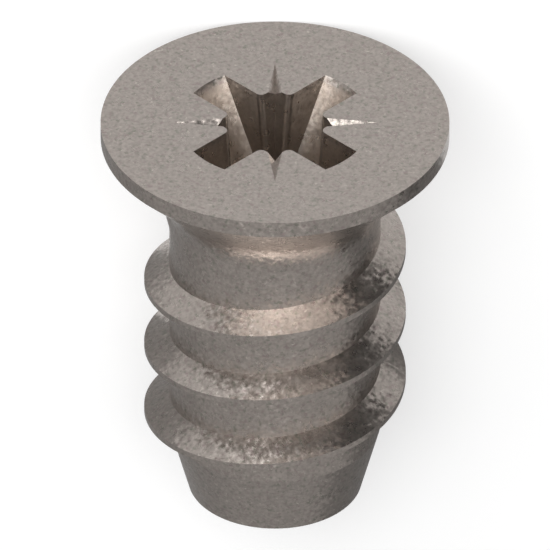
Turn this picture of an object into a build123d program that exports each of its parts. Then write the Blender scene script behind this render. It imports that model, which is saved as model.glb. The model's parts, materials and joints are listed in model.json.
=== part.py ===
from build123d import *
import math
import os

# Euro screw 6.3 x 10.5: the coarse-threaded cabinet screw that turns straight into a 5 mm system hole.
# Lengths are in millimetres and angles in degrees. The screw is drawn upright, its axis on Z with the
# head's flat face at Z = 0 and the tip below, and is then laid on its side, as it comes to rest.

# ---- driving sizes -------------------------------------------------------------------------------
overall_length = 10.5         # head face to tip
head_diameter = 8.4
rim_height = 0.42             # straight edge of the head, above the countersink
countersink_angle = 90.0      # full angle of the cone under the head
neck_radius = 1.5             # blend from the countersink to the core

core_diameter = 5.09
point_length = 1.69           # blunt cone at the tip
point_half_angle = 15.0

thread_diameter = 6.3
thread_pitch = 1.887          # single start, right hand
flank_angle = 30.0            # from the plane across the axis
crest_land = 0.15             # flat along the crest
first_crest_depth = 4.135     # below the head face, on the side that lies upward
full_thread_start = 3.18      # depths between which the tooth has its full height
full_thread_end = 8.54
thread_run_out = 0.28         # turns over which the tooth sinks into the core, at each end
thread_root_overlap = 0.4     # how far the tooth reaches into the core

wing_span = 4.62              # cross recess of type Z, size 2: over opposite wings, at the face
wing_width = 1.064
wing_end_angle = 26.5         # the wing ends close in on a cone of this half angle
centre_span = 2.846           # over opposite corners of the square centre pocket, at the face
centre_wall_angle = 5.2       # draft of the pocket's four walls
recess_corner_radius = 0.16
recess_wall_depth = 2.5
recess_depth = 2.9            # at the axis, under the blunt cone of the recess floor

mark_span = 4.9               # the four cross marks that lie between the wings, tip to tip
mark_angle = 16.4             # full angle of a mark on the head face
mark_groove_angle = 90.0      # full angle of its V groove

# ---- sizes that follow ---------------------------------------------------------------------------
head_radius = head_diameter / 2
core_radius = core_diameter / 2
thread_radius = thread_diameter / 2
point_start = overall_length - point_length
tip_radius = core_radius - point_length * math.tan(math.radians(point_half_angle))
countersink_height = (head_radius - core_radius) / math.tan(math.radians(countersink_angle / 2))
neck_depth = rim_height + countersink_height
tool_overhang = rim_height / 2        # cutting shapes stand this far above the head face


def turned_blank():
    """Head, countersink, neck, core and blunt point, turned as one profile about Z."""
    with BuildPart() as blank:
        with BuildSketch(Plane.XZ) as profile:
            with BuildLine():
                Polyline(
                    (0, 0),
                    (head_radius, 0),
                    (head_radius, -rim_height),
                    (core_radius, -neck_depth),
                    (core_radius, -point_start),
                    (tip_radius, -overall_length),
                    (0, -overall_length),
                    close=True,
                )
            make_face()
            neck = profile.vertices().sort_by_distance((core_radius, -neck_depth, 0))[0]
            fillet(neck, neck_radius)
        revolve(axis=Axis.Z)
    return blank.part


# ---- thread --------------------------------------------------------------------------------------
# The helix is followed by turns, counted towards the head from the first crest on the upward side.
tooth_foot = core_radius - thread_root_overlap / 20     # where the flanks start, just inside the core
tooth_height = thread_radius - tooth_foot
foot_half_width = crest_land / 2 + tooth_height * math.tan(math.radians(flank_angle))


def turn_at(depth):
    """The helix turn at which the crest on the thread lies at this depth below the head face."""
    return (first_crest_depth - depth) / thread_pitch


def tooth(turn, height):
    """The thread's section in the plane through the axis at this turn."""
    heading = Vector(0, 1, 0).rotate(Axis.Z, 360 * turn)
    centre = Vector(0, 0, thread_pitch * turn - first_crest_depth)
    with BuildSketch(Plane(origin=centre, x_dir=heading, z_dir=heading.cross(Vector(0, 0, 1)))) as section:
        with BuildLine():
            Polyline(
                (core_radius - thread_root_overlap, -foot_half_width),
                (tooth_foot, -foot_half_width),
                (tooth_foot + height, -crest_land / 2),
                (tooth_foot + height, crest_land / 2),
                (tooth_foot, foot_half_width),
                (core_radius - thread_root_overlap, foot_half_width),
                close=True,
            )
        make_face()
    return section.sketch


def thread_stretch(start_turn, start_height, end_turn, end_height):
    """A stretch of thread whose tooth height changes evenly from start to end."""
    climb = thread_pitch * (end_turn - start_turn)
    with BuildPart() as stretch:
        with BuildLine(Plane.XY.offset(thread_pitch * start_turn - first_crest_depth)) as path:
            helix = Helix(pitch=thread_pitch, height=climb, radius=core_radius, mode=Mode.PRIVATE)
            add(helix.rotate(Axis.Z, 90 + 360 * start_turn))
        sections = [tooth(start_turn, start_height), tooth(end_turn, end_height)]
        sweep(sections=sections, path=path.wires()[0], multisection=True, is_frenet=True)
    return stretch.part


thread_bottom = turn_at(full_thread_end)
thread_top = turn_at(full_thread_start)
sunk_height = tooth_height / 40                          # what is left of the tooth at a run-out's end
with BuildPart() as thread:
    add(thread_stretch(thread_bottom - thread_run_out, sunk_height, thread_bottom, tooth_height))
    add(thread_stretch(thread_bottom, tooth_height, thread_top, tooth_height))
    add(thread_stretch(thread_top, tooth_height, thread_top + thread_run_out, sunk_height))

# ---- cross recess --------------------------------------------------------------------------------
# Four parallel-sided wings with a square pocket at their middle. The pocket's corners point between
# the wings, so the whole is drawn square and turned by 45 degrees.
def recess_outline(depth):
    """The recess cut across at this depth, before the cone closes in on its wings."""
    shrink = depth * math.tan(math.radians(centre_wall_angle))
    pocket_width = centre_span / math.sqrt(2) - 2 * shrink
    with BuildSketch(Plane.XY.offset(-depth)) as outline:
        with Locations(Rotation(0, 0, 45)):
            Rectangle(wing_span + wing_width, wing_width)
            Rectangle(wing_width, wing_span + wing_width)
            Rectangle(pocket_width, pocket_width)
        wing_roots = outline.vertices().sort_by_distance((0, 0, 0))[:8]
        fillet(wing_roots, recess_corner_radius)
    return outline.sketch


with BuildPart() as recess:
    loft(sections=[recess_outline(-tool_overhang), recess_outline(recess_depth)], ruled=True)
    wing_end_slope = math.tan(math.radians(wing_end_angle))
    with BuildSketch(Plane.XZ):
        with BuildLine():
            Polyline(
                (0, tool_overhang),
                (wing_span / 2 + tool_overhang * wing_end_slope, tool_overhang),
                (wing_span / 2 - recess_wall_depth * wing_end_slope, -recess_wall_depth),
                (0, -recess_depth),
                close=True,
            )
        make_face()
    revolve(axis=Axis.Z, mode=Mode.INTERSECT)


# ---- cross marks ---------------------------------------------------------------------------------
def mark_section(reach):
    """A mark's V groove cut across at this distance from the axis."""
    half_width = (mark_span / 2 - reach) * math.tan(math.radians(mark_angle / 2))
    steepness = math.tan(math.radians(mark_groove_angle / 2))
    with BuildSketch(Plane(origin=(reach, 0, 0), x_dir=(0, 1, 0), z_dir=(1, 0, 0))) as groove:
        with BuildLine():
            Polyline(
                (0, -half_width / steepness),
                (half_width + tool_overhang * steepness, tool_overhang),
                (-half_width - tool_overhang * steepness, tool_overhang),
                close=True,
            )
        make_face()
    return groove.sketch


with BuildPart() as cross_mark:
    loft(sections=[mark_section(centre_span / 4), mark_section(mark_span / 2)], ruled=True)

# ---- the whole screw, upright ----------------------------------------------------------------------
with BuildPart() as upright_screw:
    add(turned_blank())
    add(thread.part)
    add(recess.part, mode=Mode.SUBTRACT)
    with PolarLocations(0, 4):
        add(cross_mark.part, mode=Mode.SUBTRACT)

# ---- laid down -------------------------------------------------------------------------------------
# It lies on the head's lower corner and on the last full crest of the downward side, so its axis leans.
contact_turn = math.ceil(thread_bottom - 0.5) + 0.5
contact_depth = first_crest_depth - thread_pitch * contact_turn + crest_land / 2
lean = math.atan2(head_radius - thread_radius, contact_depth - rim_height)
head_face_height = rim_height * math.sin(lean) + head_radius * math.cos(lean)
reach_along_floor = overall_length * math.cos(lean) + (tip_radius - head_radius) * math.sin(lean)
lying = Plane(
    origin=(0, -reach_along_floor / 2, head_face_height),
    x_dir=(1, 0, 0),
    z_dir=(0, -math.cos(lean), math.sin(lean)),
)

with BuildPart() as euro_screw:
    with Locations(lying):
        add(upright_screw.part)

euro_screw.part.label = "euro_screw"
os.makedirs("parts", exist_ok=True)
export_step(euro_screw.part, "parts/euro_screw.step")
print("lean of the axis", round(math.degrees(lean), 3), "degrees")
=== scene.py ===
# %% [markdown]
# # A zinc-plated euro screw
# The real screw is one piece: a steel wire is cold-headed into a flat countersunk head with a cross
# recess, a coarse thread is rolled on the shank, and the whole is barrel-plated with zinc. The CAD
# model holds its sizes. This lesson gives the same form a much finer mesh and the satin, speckled
# finish of the plating, then sets it on a pale table under soft studio light.

# %% Load the frame
import json
import math

import bmesh
import bpy
from mathutils import Matrix, Vector


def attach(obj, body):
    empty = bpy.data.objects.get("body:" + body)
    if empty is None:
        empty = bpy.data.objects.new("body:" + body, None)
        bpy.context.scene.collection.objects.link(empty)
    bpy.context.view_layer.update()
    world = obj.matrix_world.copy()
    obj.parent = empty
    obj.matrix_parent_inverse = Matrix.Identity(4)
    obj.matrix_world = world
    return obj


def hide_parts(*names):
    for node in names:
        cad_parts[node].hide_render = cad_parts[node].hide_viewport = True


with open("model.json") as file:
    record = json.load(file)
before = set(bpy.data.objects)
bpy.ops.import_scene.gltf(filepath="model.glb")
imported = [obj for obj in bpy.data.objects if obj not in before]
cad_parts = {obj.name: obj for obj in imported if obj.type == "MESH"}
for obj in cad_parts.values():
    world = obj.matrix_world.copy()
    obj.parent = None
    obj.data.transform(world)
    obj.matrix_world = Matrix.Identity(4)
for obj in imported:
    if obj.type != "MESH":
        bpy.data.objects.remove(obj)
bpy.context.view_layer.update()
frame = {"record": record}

# %% [markdown]
# ## Sizes
# The screw is drawn upright and in millimetres, its axis on Z with the head's flat face at Z = 0 and
# the tip below, as a drawing would show it. Boolean cuts also work more reliably on a mesh that is a
# few units across than on one of a few thousandths. The last step lays the mesh down and turns it into
# metres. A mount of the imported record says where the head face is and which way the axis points.

# %% Driving sizes
OVERALL_LENGTH = 10.5
HEAD_RADIUS = 4.2
RIM_HEIGHT = 0.42
CORE_RADIUS = 2.545
NECK_DEPTH = 2.075              # where the countersink would meet the core with no blend
NECK_RADIUS = 1.5
POINT_LENGTH = 1.69
POINT_HALF_ANGLE = math.radians(15)

THREAD_RADIUS = 3.15
THREAD_PITCH = 1.887
FLANK_ANGLE = math.radians(30)
CREST_LAND = 0.15
FIRST_CREST_DEPTH = 4.135       # on the side that lies upward
FULL_THREAD_START = 3.18
FULL_THREAD_END = 8.54
THREAD_RUN_OUT = 0.28           # in turns
FOOT_SINK = 0.02                # the tooth's foot starts this far inside the core, so that they join
LAST_HEIGHT = 0.025             # share of the tooth's height that is left at its very ends

WING_SPAN = 4.62
WING_WIDTH = 1.064
WING_END_ANGLE = math.radians(26.5)
CENTRE_SPAN = 2.846
CENTRE_WALL_ANGLE = math.radians(5.2)
RECESS_CORNER_RADIUS = 0.16
RECESS_WALL_DEPTH = 2.5
RECESS_DEPTH = 2.9
MARK_SPAN = 4.9
MARK_HALF_ANGLE = math.radians(8.2)

TURN_STEPS = 384                # facets round one turn of every turned surface
NECK_STEPS = 16                 # along the blend of the neck
CORNER_STEPS = 12               # round one corner of the recess
CUT_OVERHANG = 0.2              # cutting shapes stand this far above the head face
MM = 0.001
print("screw:", OVERALL_LENGTH, "mm long, head", 2 * HEAD_RADIUS, "mm, thread", 2 * THREAD_RADIUS, "mm")

# %% Where the screw lies
recess_mount = next(m for m in frame["record"]["mounts"] if m["name"] == "cross_recess")
head_centre = Vector(recess_mount["pos_m"])
head_axis = Vector(recess_mount["axis"]).normalized()
across = Vector((1, 0, 0))
upward_side = head_axis.cross(across)
lying = Matrix.Translation(head_centre) @ Matrix((across, upward_side, head_axis)).transposed().to_4x4()
print("the axis leans", round(math.degrees(math.asin(head_axis.z)), 2), "degrees, head end up")

# %% [markdown]
# ## The turned blank
# Everything that a lathe could make is one profile turned about the axis: the flat face, the rim, the
# 90 degree countersink, the neck that blends into the core, and the blunt point. Blender's Screw
# modifier would turn it too, but a short function that lays ring after ring keeps the poles clean and
# the corners exact. The neck is an arc that touches both the cone and the core.

# %% A lathe
def new_object(name, mesh):
    """An object for a mesh, linked to the scene."""
    piece = bpy.data.objects.new(name, mesh)
    bpy.context.scene.collection.objects.link(piece)
    return piece


def lathe(name, profile):
    """A closed solid turned from (radius, z) points, which run from the axis round to the axis."""
    shape = bmesh.new()
    rings = []
    for radius, z in profile:
        if radius == 0:
            rings.append([shape.verts.new((0, 0, z))])
            continue
        angles = [math.tau * step / TURN_STEPS for step in range(TURN_STEPS)]
        rings.append([shape.verts.new((radius * math.cos(a), radius * math.sin(a), z)) for a in angles])
    for upper, lower in zip(rings, rings[1:]):
        for step in range(TURN_STEPS):
            after = (step + 1) % TURN_STEPS
            if len(upper) == 1:
                shape.faces.new((upper[0], lower[step], lower[after]))
            elif len(lower) == 1:
                shape.faces.new((upper[after], upper[step], lower[0]))
            else:
                shape.faces.new((upper[after], upper[step], lower[step], lower[after]))
    mesh = bpy.data.meshes.new(name)
    shape.to_mesh(mesh)
    shape.free()
    return new_object(name, mesh)


# %% Turn the blank
tip_radius = CORE_RADIUS - POINT_LENGTH * math.tan(POINT_HALF_ANGLE)
neck_turn = math.radians(45)                          # between the countersink and the core
neck_reach = NECK_RADIUS * math.tan(neck_turn / 2)
neck_centre = (CORE_RADIUS + NECK_RADIUS, -NECK_DEPTH - neck_reach)
neck_arc = []
for step in range(NECK_STEPS + 1):
    angle = math.pi - neck_turn * (1 - step / NECK_STEPS)
    neck_arc.append((neck_centre[0] + NECK_RADIUS * math.cos(angle),
                     neck_centre[1] + NECK_RADIUS * math.sin(angle)))

blank = lathe("screw_blank", [
    (0, 0),
    (HEAD_RADIUS, 0),
    (HEAD_RADIUS, -RIM_HEIGHT),
    *neck_arc,
    (CORE_RADIUS, POINT_LENGTH - OVERALL_LENGTH),
    (tip_radius, -OVERALL_LENGTH),
    (0, -OVERALL_LENGTH),
])
print("blank:", len(blank.data.polygons), "faces, tip", round(2 * tip_radius, 2), "mm across")

# %% [markdown]
# ## The thread
# A rolled thread follows a rule: one tooth section climbs by the pitch with every turn, and sinks into
# the core over the last part of a turn at each end. Geometry Nodes suit it well. The tree draws a
# straight bar, as long as the thread has turns and with the tooth as its section, and then bends it
# round the core: the place along the bar becomes the turn, the place across it the depth, and the
# height above its foot the distance from the axis. Near the ends the height is scaled down, while the
# foot keeps its width, so the flanks flatten out as they do on the real screw. The last turn passes from
# the core to the narrower point, so the foot follows the point's cone: on a foot of one radius the tooth
# would hang clear of it.

# %% Helpers for node trees
def add_node(tree, kind, inputs=None, **settings):
    """A node with its properties set, and its sockets set or linked by name or number."""
    node = tree.nodes.new(kind)
    for name, value in settings.items():
        setattr(node, name, value)
    for name, value in (inputs or {}).items():
        if isinstance(value, bpy.types.NodeSocket):
            tree.links.new(value, node.inputs[name])
        else:
            node.inputs[name].default_value = value
    return node


def maths(tree, operation, *operands):
    """The result of a Math node."""
    return add_node(tree, "ShaderNodeMath", dict(enumerate(operands)), operation=operation).outputs[0]


# %% The thread's node tree
THREAD_SIZES = {
    "Pitch": THREAD_PITCH,
    "First crest depth": FIRST_CREST_DEPTH,
    "Bottom turn": (FIRST_CREST_DEPTH - FULL_THREAD_END) / THREAD_PITCH,
    "Top turn": (FIRST_CREST_DEPTH - FULL_THREAD_START) / THREAD_PITCH,
    "Run-out turns": THREAD_RUN_OUT,
    "Foot radius": CORE_RADIUS - FOOT_SINK,
    "Point start": OVERALL_LENGTH - POINT_LENGTH,
    "Point slope": math.tan(POINT_HALF_ANGLE),
    "Tooth height": THREAD_RADIUS - CORE_RADIUS + FOOT_SINK,
    "Crest land": CREST_LAND,
    "Flank angle": FLANK_ANGLE,
    "Steps per turn": TURN_STEPS,
}


def thread_tree():
    """A tooth that climbs round the Z axis, with a run-out at each end."""
    tree = bpy.data.node_groups.new("rolled_thread", "GeometryNodeTree")
    for name in THREAD_SIZES:
        tree.interface.new_socket(name=name, in_out="INPUT", socket_type="NodeSocketFloat")
    tree.interface.new_socket(name="Finish", in_out="INPUT", socket_type="NodeSocketMaterial")
    tree.interface.new_socket(name="Thread", in_out="OUTPUT", socket_type="NodeSocketGeometry")
    size = add_node(tree, "NodeGroupInput").outputs

    # the straight bar, one unit long for each turn
    start = maths(tree, "SUBTRACT", size["Bottom turn"], size["Run-out turns"])
    end = maths(tree, "ADD", size["Top turn"], size["Run-out turns"])
    steps = maths(tree, "MULTIPLY", maths(tree, "SUBTRACT", end, start), size["Steps per turn"])
    bar_start = add_node(tree, "ShaderNodeCombineXYZ", {"X": start})
    bar_end = add_node(tree, "ShaderNodeCombineXYZ", {"X": end})
    line = add_node(tree, "GeometryNodeCurvePrimitiveLine",
                    {"Start": bar_start.outputs[0], "End": bar_end.outputs[0]})
    path = add_node(tree, "GeometryNodeResampleCurve", {"Curve": line.outputs[0], "Count": steps})
    flank_slope = maths(tree, "TANGENT", size["Flank angle"])
    flank_widths = maths(tree, "MULTIPLY", maths(tree, "MULTIPLY", flank_slope, size["Tooth height"]), 2.0)
    section = add_node(tree, "GeometryNodeCurvePrimitiveQuadrilateral",
                       {"Bottom Width": maths(tree, "ADD", size["Crest land"], flank_widths),
                        "Top Width": size["Crest land"], "Height": size["Tooth height"], "Offset": 0.0},
                       mode="TRAPEZOID")
    bar = add_node(tree, "GeometryNodeCurveToMesh",
                   {"Curve": path.outputs[0], "Profile Curve": section.outputs[0], "Fill Caps": True})

    # how far each point stands above the tooth's foot, once the run-outs have sunk it
    place = add_node(tree, "ShaderNodeSeparateXYZ",
                     {"Vector": add_node(tree, "GeometryNodeInputPosition").outputs[0]}).outputs
    from_end = maths(tree, "MINIMUM", maths(tree, "SUBTRACT", place["X"], start),
                     maths(tree, "SUBTRACT", end, place["X"]))
    rise = add_node(tree, "ShaderNodeMapRange",
                    {"Value": from_end, "From Max": size["Run-out turns"],
                     "To Min": LAST_HEIGHT}).outputs[0]
    half_height = maths(tree, "MULTIPLY", size["Tooth height"], 0.5)
    height = maths(tree, "MULTIPLY", maths(tree, "SUBTRACT", half_height, place["Z"]), rise)

    # bend the bar round the core and the point; turn 0 has its crest on the +Y side
    depth = maths(tree, "SUBTRACT", maths(tree, "ADD", size["First crest depth"], place["Y"]),
                  maths(tree, "MULTIPLY", place["X"], size["Pitch"]))
    past_core = maths(tree, "MAXIMUM", maths(tree, "SUBTRACT", depth, size["Point start"]), 0.0)
    foot = maths(tree, "SUBTRACT", size["Foot radius"],
                 maths(tree, "MULTIPLY", past_core, size["Point slope"]))
    radius = maths(tree, "ADD", foot, height)
    heading = maths(tree, "MULTIPLY", maths(tree, "ADD", place["X"], 0.25), math.tau)
    bent = add_node(tree, "ShaderNodeCombineXYZ",
                    {"X": maths(tree, "MULTIPLY", radius, maths(tree, "COSINE", heading)),
                     "Y": maths(tree, "MULTIPLY", radius, maths(tree, "SINE", heading)),
                     "Z": maths(tree, "MULTIPLY", depth, -1.0)})
    thread = add_node(tree, "GeometryNodeSetPosition",
                      {"Geometry": bar.outputs[0], "Position": bent.outputs[0]})
    real = add_node(tree, "GeometryNodeRealizeInstances", {"Geometry": thread.outputs[0]})
    finished = add_node(tree, "GeometryNodeSetMaterial",
                        {"Geometry": real.outputs[0], "Material": size["Finish"]})
    add_node(tree, "NodeGroupOutput", {"Thread": finished.outputs[0]})
    return tree


# %% Roll the thread
def baked(piece):
    """The evaluated shape of an object as a plain mesh, in place of its modifiers."""
    evaluated = piece.evaluated_get(bpy.context.evaluated_depsgraph_get())
    mesh = bpy.data.meshes.new_from_object(evaluated)
    piece.modifiers.clear()
    piece.data = mesh
    return piece


def bare_material(name):
    """A material with nothing in its node tree yet."""
    material = bpy.data.materials.new(name)
    material.use_nodes = True
    material.node_tree.nodes.clear()
    return material, material.node_tree


zinc_plate, plate = bare_material("satin_zinc_plate")
thread = new_object("screw_thread", bpy.data.meshes.new("screw_thread"))
rolling = thread.modifiers.new("rolled_thread", "NODES")
rolling.node_group = thread_tree()
for socket in rolling.node_group.interface.items_tree:
    if socket.in_out == "INPUT":
        rolling[socket.identifier] = THREAD_SIZES.get(socket.name, zinc_plate)
baked(thread)
print("thread:", len(thread.data.polygons), "faces,",
      round(THREAD_SIZES["Top turn"] - THREAD_SIZES["Bottom turn"], 2), "full turns")

# %% [markdown]
# ## The cross recess
# A driver of type Z, size 2, fits a recess with four parallel-sided wings and a square pocket at their
# middle, whose corners point between the wings. The punch that forms it is modelled as a solid of its
# own and then cut out of the head. Its outline is drawn at two depths with the same number of points,
# so the walls between them are plain strips; a cone then cuts the wing ends to their slope.

# %% Outline of the recess
def rounded_corner(corner, toward_a, toward_b, radius):
    """Points of the arc that rounds a corner between two directions."""
    half_angle = toward_a.angle(toward_b) / 2
    middle = (toward_a.normalized() + toward_b.normalized()).normalized()
    centre = corner + middle * (radius / math.sin(half_angle))
    start = corner + toward_a.normalized() * (radius / math.tan(half_angle)) - centre
    end = corner + toward_b.normalized() * (radius / math.tan(half_angle)) - centre
    points = []
    for step in range(CORNER_STEPS + 1):
        share = step / CORNER_STEPS
        points.append(centre + (start * (1 - share) + end * share).normalized() * radius)
    return points


def recess_outline(depth):
    """The recess cut across at a depth: four wings with a square pocket turned by 45 degrees."""
    wing_half = WING_WIDTH / 2
    wing_reach = (WING_SPAN + WING_WIDTH) / 2
    pocket_half = CENTRE_SPAN / math.sqrt(8) - depth * math.tan(CENTRE_WALL_ANGLE)
    along = Vector((1, 0))
    aside = Vector((0, 1))
    corner = Vector((pocket_half, wing_half))        # where a wing's side meets the pocket's wall
    quarter = [Vector((wing_reach, -wing_half)), Vector((wing_reach, wing_half))]
    quarter += rounded_corner(corner, along, aside, RECESS_CORNER_RADIUS)
    quarter.append(Vector((pocket_half, pocket_half)))
    quarter += rounded_corner(corner.yx, along, aside, RECESS_CORNER_RADIUS)
    outline = []
    for turn in range(4):
        spin = Matrix.Rotation(math.radians(45 + 90 * turn), 2)
        outline += [spin @ point for point in quarter]
    return [Vector((point.x, point.y, -depth)) for point in outline]


def skin(name, sections):
    """A closed solid over outlines that have the same number of points, first one on top."""
    shape = bmesh.new()
    rings = [[shape.verts.new(point) for point in section] for section in sections]
    shape.faces.new(rings[0])
    shape.faces.new(reversed(rings[-1]))
    for upper, lower in zip(rings, rings[1:]):
        for step in range(len(upper)):
            shape.faces.new((upper[step], upper[step - 1], lower[step - 1], lower[step]))
    bmesh.ops.recalc_face_normals(shape, faces=shape.faces)
    mesh = bpy.data.meshes.new(name)
    shape.to_mesh(mesh)
    shape.free()
    return new_object(name, mesh)


# %% The recess punch
def combine(piece, operation, *tools):
    """Join, cut or intersect a piece with other solids, which are used up."""
    for tool in tools:
        change = piece.modifiers.new(operation.lower(), "BOOLEAN")
        change.operation = operation
        change.solver = "EXACT"
        change.object = tool
    baked(piece)
    for tool in tools:
        bpy.data.objects.remove(tool)
    return piece


wing_end_slope = math.tan(WING_END_ANGLE)
punch = skin("recess_punch", [recess_outline(-CUT_OVERHANG), recess_outline(RECESS_DEPTH)])
wing_end_cone = lathe("wing_end_cone", [
    (0, CUT_OVERHANG),
    (WING_SPAN / 2 + CUT_OVERHANG * wing_end_slope, CUT_OVERHANG),
    (WING_SPAN / 2 - RECESS_WALL_DEPTH * wing_end_slope, -RECESS_WALL_DEPTH),
    (0, -RECESS_DEPTH),
])
combine(punch, "INTERSECT", wing_end_cone)
print("recess punch:", len(punch.data.polygons), "faces, box", [round(d, 3) for d in punch.dimensions])

# %% [markdown]
# ## The cross marks
# Four small V grooves between the wings tell a type Z recess from its older cousin. Each is widest at
# the pocket and runs out to nothing, so the cutting shape is a wedge between two triangles, the outer
# one almost a point. A loop turns it to the four places.

# %% Four cross marks
def mark_section(reach):
    """A 90 degree groove cut across at a distance from the axis."""
    half_width = (MARK_SPAN / 2 - reach) * math.tan(MARK_HALF_ANGLE)
    return [Vector((reach, 0, -half_width)),
            Vector((reach, half_width + CUT_OVERHANG, CUT_OVERHANG)),
            Vector((reach, -half_width - CUT_OVERHANG, CUT_OVERHANG))]


marks = []
for turn in range(4):
    mark = skin(f"cross_mark_{turn}", [mark_section(CENTRE_SPAN / 4), mark_section(MARK_SPAN / 2)])
    mark.data.transform(Matrix.Rotation(math.radians(90 * turn), 4, "Z"))
    marks.append(mark)
print("cross marks:", len(marks), "grooves that end", MARK_SPAN / 2, "mm from the axis")

# %% [markdown]
# ## One piece
# The thread is joined to the blank, and the recess and marks are cut out of the head. The mesh is then
# laid down and scaled to metres in one go, so that its object stays at the origin. Edges that turn by
# more than 12 degrees stay crisp, which keeps the thread's crest, the rim and the start of the point,
# and everything else is shaded smooth.

# %% Join and cut
MERGE_DISTANCE = 0.0002                                 # millimetres
STRAIGHT = 0.02                                         # radians; an edge that turns less runs on
CRISP_ANGLE = math.radians(12)

screw = combine(blank, "UNION", thread)
screw.name = "plated_screw"
combine(screw, "DIFFERENCE", punch, *marks)
screw.data.name = "plated_screw"

shape = bmesh.new()
shape.from_mesh(screw.data)
bmesh.ops.remove_doubles(shape, verts=shape.verts, dist=MERGE_DISTANCE)
mid_edge = [v for v in shape.verts if len(v.link_edges) == 2 and v.calc_edge_angle(math.pi) < STRAIGHT]
bmesh.ops.dissolve_verts(shape, verts=mid_edge)         # cuts leave a few points inside straight edges
open_edges = [edge for edge in shape.edges if not edge.is_manifold]
print("screw:", len(shape.faces), "faces,", len(open_edges), "open edges,",
      len(mid_edge), "points dropped,", round(shape.calc_volume(), 2), "cubic millimetres")
shape.to_mesh(screw.data)
shape.free()

# %% Lay it down
screw.data.transform(lying @ Matrix.Scale(MM, 4))
screw.data.shade_smooth()
screw.data.set_sharp_from_angle(angle=CRISP_ANGLE)
print("screw box, in metres:", [round(d, 6) for d in screw.dimensions])

# %% [markdown]
# ## Satin zinc plate
# Barrel plating leaves a satin metal, not a mirror. The zinc grows in small crystals, so the grey has a
# fine grain with darker flecks, some greenish and some reddish from the passivating bath, and a few
# bright specks. The tumbling also leaves the surface very slightly uneven: each patch of about a tenth
# of a millimetre leans its own way, which hardly shows on even ground and breaks up a reflection's
# edge. Everything is measured in the screw's own coordinates, in millimetres, so the finish stays put
# from every side. The lean is added to the normal, because a bump height of this size would look
# hammered. The recess is different: its walls take the polish of the punch, so under the head face its
# patches lean less. The metal there is also painted lighter, a painted fill light for walls that lie in
# shade.

# %% Helpers for the finish
screw.data.materials.clear()
screw.data.materials.append(zinc_plate)
in_mm = add_node(plate, "ShaderNodeMapping",
                 {"Vector": add_node(plate, "ShaderNodeTexCoord").outputs["Object"],
                  "Scale": (1 / MM, 1 / MM, 1 / MM)}).outputs[0]


def noise(scale, detail, offset=(0, 0, 0)):
    """Noise with so many features in a millimetre."""
    moved = add_node(plate, "ShaderNodeMapping", {"Vector": in_mm, "Location": offset}).outputs[0]
    return add_node(plate, "ShaderNodeTexNoise", {"Vector": moved, "Scale": scale, "Detail": detail})


def between(value, low, high, to_low=0.0, to_high=1.0):
    """The value carried from one range to another, and held at its ends."""
    return add_node(plate, "ShaderNodeMapRange",
                    {"Value": value, "From Min": low, "From Max": high,
                     "To Min": to_low, "To Max": to_high}).outputs[0]


def mixed(share, first, second):
    """One colour turning into another. A Mix node takes colours on inputs 6 and 7, and gives output 2."""
    return add_node(plate, "ShaderNodeMix", {"Factor": share, 6: first, 7: second},
                    data_type="RGBA").outputs[2]


def vectors(operation, inputs, output="Vector"):
    """The result of a Vector Math node."""
    return add_node(plate, "ShaderNodeVectorMath", inputs, operation=operation).outputs[output]


# %% The finish
DULL_ZINC = (0.385, 0.345, 0.315, 1)
CLEAR_ZINC = (0.475, 0.423, 0.388, 1)
SATIN = (0.26, 0.33)                                    # roughness, from patch to patch
GRAIN_SCALE, FLECK_SCALE, PATCH_SCALE, SATIN_SCALE = 12, 9, 8, 3        # features in a millimetre
PATCH_LEAN = 0.42
PUNCHED_LEAN = 0.22                                     # the same, on the walls of the recess
# painted light: a lighter zinc that brightens the recess walls, which the lamps leave in shade
RECESS_PAINTED_LIGHT_ZINC = (0.52, 0.46, 0.405, 1)
RECESS_PAINTED_LIGHT_SHARE = 0.5                                     # how far those walls take that painted light
PUNCHED_REACH = 3.1                                     # they lie within this of the head face's middle
PUNCHED_START = 0.16                                    # below the face, and below the cross marks

from_head = vectors("SUBTRACT", {0: in_mm, 1: head_centre / MM})
above_face = vectors("DOT_PRODUCT", {0: from_head, 1: head_axis}, "Value")
reach = vectors("LENGTH", {0: from_head}, "Value")
# the recess walls under the head face; this mask carries their painted light and their smaller lean
recess_painted_light_and_polish = maths(plate, "MULTIPLY", maths(plate, "LESS_THAN", above_face, -PUNCHED_START),
                maths(plate, "LESS_THAN", reach, PUNCHED_REACH))

grain = between(noise(GRAIN_SCALE, 4).outputs["Fac"], 0.36, 0.64)
colour = mixed(grain, DULL_ZINC, CLEAR_ZINC)
for offset, low, high, tint in (((3, 7, 1), 0.56, 0.70, (0.30, 0.29, 0.25, 1)),     # greenish flecks
                                ((11, 2, 5), 0.56, 0.70, (0.36, 0.30, 0.285, 1)),   # reddish flecks
                                ((7, 1, 9), 0.66, 0.74, (0.56, 0.51, 0.46, 1))):    # bright specks
    flecks = between(noise(FLECK_SCALE, 2, offset).outputs["Fac"], low, high)
    colour = mixed(flecks, colour, tint)
# painted light: the recess walls are mixed towards the lighter zinc, to lift their shade
colour = mixed(maths(plate, "MULTIPLY", recess_painted_light_and_polish, RECESS_PAINTED_LIGHT_SHARE), colour, RECESS_PAINTED_LIGHT_ZINC)
roughness = between(noise(SATIN_SCALE, 2, offset=(1, 4, 8)).outputs["Fac"], 0.3, 0.7, *SATIN)

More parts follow.
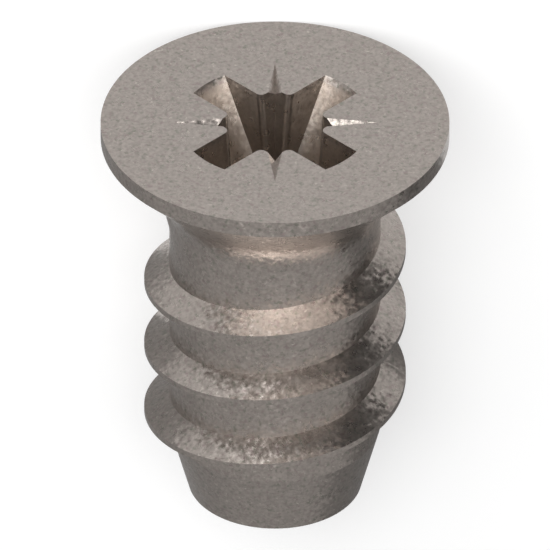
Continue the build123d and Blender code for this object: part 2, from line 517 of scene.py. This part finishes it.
patches = noise(PATCH_SCALE, 2, offset=(5, 5, 9)).outputs["Color"]
leans = vectors("SUBTRACT", {0: patches, 1: (0.5, 0.5, 0.5)})           # noise lies about a half
leans = vectors("SCALE", {0: leans, "Scale": between(recess_painted_light_and_polish, 0, 1, PATCH_LEAN, PUNCHED_LEAN)})
leant = vectors("ADD", {0: add_node(plate, "ShaderNodeNewGeometry").outputs["Normal"], 1: leans})
facing = vectors("NORMALIZE", {0: leant})
surface = add_node(plate, "ShaderNodeBsdfPrincipled",
                   {"Base Color": colour, "Metallic": 0.98, "Roughness": roughness, "Normal": facing})
add_node(plate, "ShaderNodeOutputMaterial", {"Surface": surface.outputs[0]})
print("finish:", len(plate.nodes), "nodes, roughness", SATIN, "and patches that lean by", PATCH_LEAN)

# %% [markdown]
# ## The table and the background
# A plain pale table carries the screw and keeps its soft shadow. Its shader gives camera, glossy and
# transmission rays a white that the lamps alone would leave slightly grey, so that a picture and the
# metal show one background, while the light that the table throws back stays plain. The world does the
# same: white where it is seen, and dim as a source of light.

# %% Table
TABLE_TONE = 0.8                                        # for the light that the table throws back
SEEN_TONE, SEEN_GLOW = 0.55, 0.48                       # together white where the table is seen


def grey(tone):
    """An even grey."""
    return (tone, tone, tone, 1)


def seen_rays(tree):
    """1 for camera, glossy and transmission rays, otherwise 0."""
    ray = add_node(tree, "ShaderNodeLightPath").outputs
    seen = maths(tree, "MAXIMUM", ray["Is Camera Ray"], ray["Is Glossy Ray"])
    return maths(tree, "MAXIMUM", seen, ray["Is Transmission Ray"])


table_mesh = bpy.data.meshes.new("table")
table_mesh.from_pydata([(-1, -1, 0), (1, -1, 0), (1, 1, 0), (-1, 1, 0)], [], [(0, 1, 2, 3)])
table = new_object("table", table_mesh)
table_top, tree = bare_material("pale_table")
plain = add_node(tree, "ShaderNodeBsdfDiffuse", {"Color": grey(TABLE_TONE)})
lit = add_node(tree, "ShaderNodeBsdfDiffuse", {"Color": grey(SEEN_TONE)})
glow = add_node(tree, "ShaderNodeEmission", {"Color": grey(1), "Strength": SEEN_GLOW})
shown = add_node(tree, "ShaderNodeAddShader", {0: lit.outputs[0], 1: glow.outputs[0]})
mix = add_node(tree, "ShaderNodeMixShader", {0: seen_rays(tree), 1: plain.outputs[0], 2: shown.outputs[0]})
add_node(tree, "ShaderNodeOutputMaterial", {"Surface": mix.outputs[0]})
table.data.materials.append(table_top)
print("table:", [round(side, 2) for side in table.dimensions[:2]], "metres")

# %% World
SKY_LIGHT = 0.1                                         # strength as a light; 1 where it is seen

world = bpy.data.worlds.new("studio")
bpy.context.scene.world = world
world.use_nodes = True
tree = world.node_tree
tree.nodes.clear()
strength = add_node(tree, "ShaderNodeMapRange",
                    {"Value": seen_rays(tree), "To Min": SKY_LIGHT, "To Max": 1.0})
sky = add_node(tree, "ShaderNodeBackground", {"Color": grey(1), "Strength": strength.outputs[0]})
add_node(tree, "ShaderNodeOutputWorld", {"Surface": sky.outputs[0]})
print("world: strength 1 where it is seen,", SKY_LIGHT, "as light")

# %% [markdown]
# ## Light for bare metal
# Metal has hardly any shading of its own, so a studio lights what it reflects. Three
# softboxes give the light: a wide one overhead, a small bright one below it for the highlights along
# the neck and the thread, and one at the left in front, which brightens one wall of each groove. The
# head's flat face and the core would reflect a blank white room, so grey cards and table mats stand
# round the screw where its reflections should be calmer, as flags do in a studio. Only reflections see
# them: no card throws light or shadow on anything.

# %% Lamps
def soft_lamp(name, place, aim, width, depth, brightness):
    """A lamp with a cloth front; the brightness is what a mirror would show of it."""
    lamp = bpy.data.lights.new(name, "AREA")
    lamp.shape = "RECTANGLE"
    lamp.size = width
    lamp.size_y = depth
    lamp.energy = brightness * math.pi * width * depth
    piece = new_object(name, lamp)
    piece.location = place
    piece.rotation_euler = (Vector(aim) - Vector(place)).to_track_quat("-Z", "Y").to_euler()
    print(f"{name}: {width / MM:.0f} x {depth / MM:.0f} mm, {lamp.energy:.3f} W")


soft_lamp("overhead_softbox", (0, -0.02, 0.08), (0, -0.0201, 0), 0.24, 0.08, 1.8)
soft_lamp("highlight_softbox", (0.012, -0.04, 0.078), (0.012, -0.0401, 0), 0.05, 0.04, 4.0)
soft_lamp("left_front_softbox", (0.043, -0.061, 0.057), (0, 0, 0.057), 0.06, 0.035, 3.1)


# %% Cards and mats
def arc_card(name, azimuths, near_rim, far_rim, brightness):
    """A card between two arcs about the screw, each a (radius, height) in millimetres, that only
    reflections in the metal show. Azimuths run from the head's side of the table towards -X."""
    steps = 24
    corners = []
    for radius, height in (near_rim, far_rim):
        for step in range(steps + 1):
            azimuth = math.radians(azimuths[0] + (azimuths[1] - azimuths[0]) * step / steps)
            corners.append((-radius * MM * math.sin(azimuth), -radius * MM * math.cos(azimuth), height * MM))
    strips = [(step, step + 1, steps + step + 2, steps + step + 1) for step in range(steps)]
    mesh = bpy.data.meshes.new(name)
    mesh.from_pydata(corners, [], strips)
    card = new_object(name, mesh)
    paper, tree = bare_material(name)
    tone = add_node(tree, "ShaderNodeEmission", {"Color": grey(brightness), "Strength": 1.0})
    add_node(tree, "ShaderNodeOutputMaterial", {"Surface": tone.outputs[0]})
    card.data.materials.append(paper)
    card.visible_camera = False
    card.visible_diffuse = False
    card.visible_shadow = False
    return card


FAR, NEAR = 75, 20                                      # distances of the cards from the screw
MAT_START, MAT_HEIGHT = 3.5, 0.05                       # close to the screw, just above the table
mat_rims = ((MAT_START, MAT_HEIGHT), (FAR - 1, MAT_HEIGHT))
cards = [
    arc_card("rear_card", (105, 262), (FAR, 0), (FAR, 140), 0.43),
    arc_card("left_card", (262, 300), (FAR, 0), (FAR, 40), 0.55),
    arc_card("tall_dark_card", (-15, 45), (FAR, 0), (FAR, 84), 0.14),
    arc_card("low_dark_card", (15, 105), (NEAR, 0), (NEAR, 13), 0.01),
    arc_card("front_mat", (-60, 80), *mat_rims, 0.80),
    arc_card("right_mat", (80, 180), *mat_rims, 0.21),
    arc_card("left_mat", (180, 300), *mat_rims, 0.34),
]
print("cards and mats:", ", ".join(card.name for card in cards))

# %% [markdown]
# ## The camera
# The view is a parallel one, so the camera is orthographic. It looks down on the lying screw from the
# head's end, equally steep to the axis and to both directions across it, as an isometric drawing does.

# %% Camera
ISOMETRIC = math.asin(1 / math.sqrt(3))
FRAME_WIDTH = 13.24                                     # millimetres across the picture
AIM_DEPTH = 4.501                                       # below the head face, on the axis
CAMERA_DISTANCE = 0.2                                   # metres; it doesn't change a parallel view

to_camera = upward_side * math.cos(ISOMETRIC) + head_axis * math.sin(ISOMETRIC)
picture_up = head_axis * math.cos(ISOMETRIC) - upward_side * math.sin(ISOMETRIC)
picture_right = picture_up.cross(to_camera)
aim = head_centre - head_axis * AIM_DEPTH * MM
lens = bpy.data.cameras.new("camera")
lens.type = "ORTHO"
lens.ortho_scale = FRAME_WIDTH * MM
lens.clip_start = 0.01
lens.clip_end = 10
camera = new_object("camera", lens)
camera.matrix_world = (Matrix.Translation(aim + to_camera * CAMERA_DISTANCE)
                       @ Matrix((picture_right, picture_up, to_camera)).transposed().to_4x4())
bpy.context.scene.camera = camera
bpy.context.scene.view_settings.view_transform = "Standard"
print("camera looks down at", round(math.degrees(math.asin(to_camera.z)), 1), "degrees")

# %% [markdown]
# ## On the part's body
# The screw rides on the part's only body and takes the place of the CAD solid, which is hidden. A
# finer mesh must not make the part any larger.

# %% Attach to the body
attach(screw, "root")
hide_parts("euro_screw")
